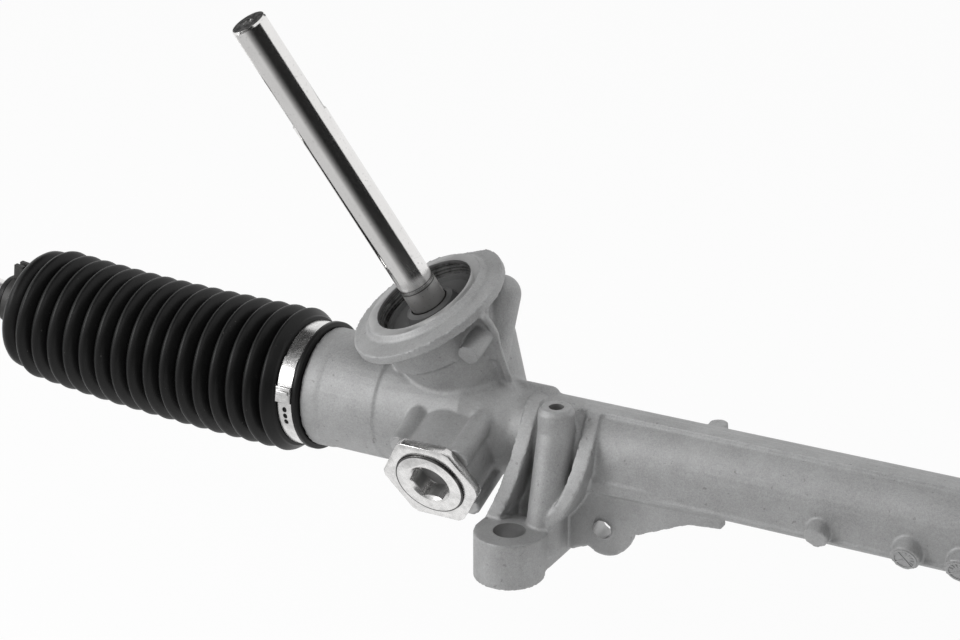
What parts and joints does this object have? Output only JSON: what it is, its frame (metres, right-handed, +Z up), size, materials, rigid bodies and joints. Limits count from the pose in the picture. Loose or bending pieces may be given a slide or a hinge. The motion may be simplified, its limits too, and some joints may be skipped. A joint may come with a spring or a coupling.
{
  "type": "steering rack",
  "caption": "Manual rack and pinion steering gear with input shaft, adjusting plug, rubber boots and tie rods.",
  "frame": {"origin": "midway between the two mounting bolts, on the lower faces of the two lugs", "axes": "+X along the rack, from the pinion end to the far end; +Z up along the mounting bolts; -Y towards the yoke plug"},
  "size_m": [1.2714, 0.105, 0.2357],
  "materials": {
    "cast_aluminium": "shot-blasted casting",
    "turned_aluminium": "turned",
    "ground_steel": "ground",
    "bright_steel": "bright zinc",
    "bearing_steel": "polished",
    "dark_steel": "phosphated",
    "black_rubber": "moulded",
    "pale_plastic": "moulded"
  },
  "bodies": {
    "housing": {"rack_housing": "cast_aluminium", "bearing_outer_ring": "bearing_steel", "bearing_circlip": "dark_steel", "pinion_seal": "black_rubber", "needle_cup": "bearing_steel", "support_yoke": "turned_aluminium", "yoke_pad": "pale_plastic", "yoke_ring": "black_rubber", "yoke_spring": "dark_steel", "yoke_plug": "bright_steel", "yoke_lock_nut": "bright_steel", "rack_bush": "pale_plastic", "bush_rings": "black_rubber", "left_boot": "black_rubber", "right_boot": "black_rubber", "left_boot_clamp": "bright_steel", "right_boot_clamp": "bright_steel"},
    "rack": {"rack_bar": "ground_steel", "left_lock_washer": "bearing_steel", "right_lock_washer": "bearing_steel", "left_ball_seat": "pale_plastic", "right_ball_seat": "pale_plastic", "left_ball_socket": "ground_steel", "right_ball_socket": "ground_steel"},
    "pinion": {"pinion_shaft": "ground_steel", "bearing_inner_ring": "bearing_steel", "shaft_circlip": "dark_steel"},
    "ball_set": {"bearing_balls": "bearing_steel", "bearing_cage": "pale_plastic"},
    "needle_set": {"needle_rollers": "bearing_steel"},
    "left_rod": {"left_tie_rod": "ground_steel", "left_rod_nut": "dark_steel", "left_rod_clamp": "dark_steel"},
    "right_rod": {"right_tie_rod": "ground_steel", "right_rod_nut": "dark_steel", "right_rod_clamp": "dark_steel"}
  },
  "joints": [
    {"name": "rack_travel", "type": "slide", "parent": "housing", "child": "rack", "axis": [1, 0, 0], "range_m": [-0.072, 0.072], "deforming": ["left_boot", "right_boot"]},
    {"name": "pinion_turn", "type": "hinge", "parent": "housing", "child": "pinion", "pos_m": [-0.2205, 0.05657, 0.05414], "axis": [-0.3649, -0.3412, 0.8663], "range_deg": [-590.33, 590.33]},
    {"name": "ball_set_turn", "type": "hinge", "parent": "housing", "child": "ball_set", "pos_m": [-0.2205, 0.05657, 0.05414], "axis": [-0.3649, -0.3412, 0.8663], "range_deg": [-224.94, 224.94]},
    {"name": "needle_set_turn", "type": "hinge", "parent": "housing", "child": "needle_set", "pos_m": [-0.2205, 0.05657, 0.05414], "axis": [-0.3649, -0.3412, 0.8663], "range_deg": [-240.86, 240.86]},
    {"name": "left_rod_swing", "type": "hinge", "parent": "rack", "child": "left_rod", "pos_m": [-0.407, 0.0425, 0.0486], "axis": [0, 1, 0], "range_deg": [-27.5, 12.5], "deforming": ["left_boot"]},
    {"name": "right_rod_swing", "type": "hinge", "parent": "rack", "child": "right_rod", "pos_m": [0.407, 0.0425, 0.0486], "axis": [0, -1, 0], "range_deg": [-27.5, 12.5], "deforming": ["right_boot"]}
  ],
  "couplings": [
    {"joint": "pinion_turn", "follows": "rack_travel", "rad_per_m": 142.86},
    {"joint": "ball_set_turn", "follows": "rack_travel", "rad_per_m": 54.286},
    {"joint": "needle_set_turn", "follows": "rack_travel", "rad_per_m": 58.143}
  ]
}
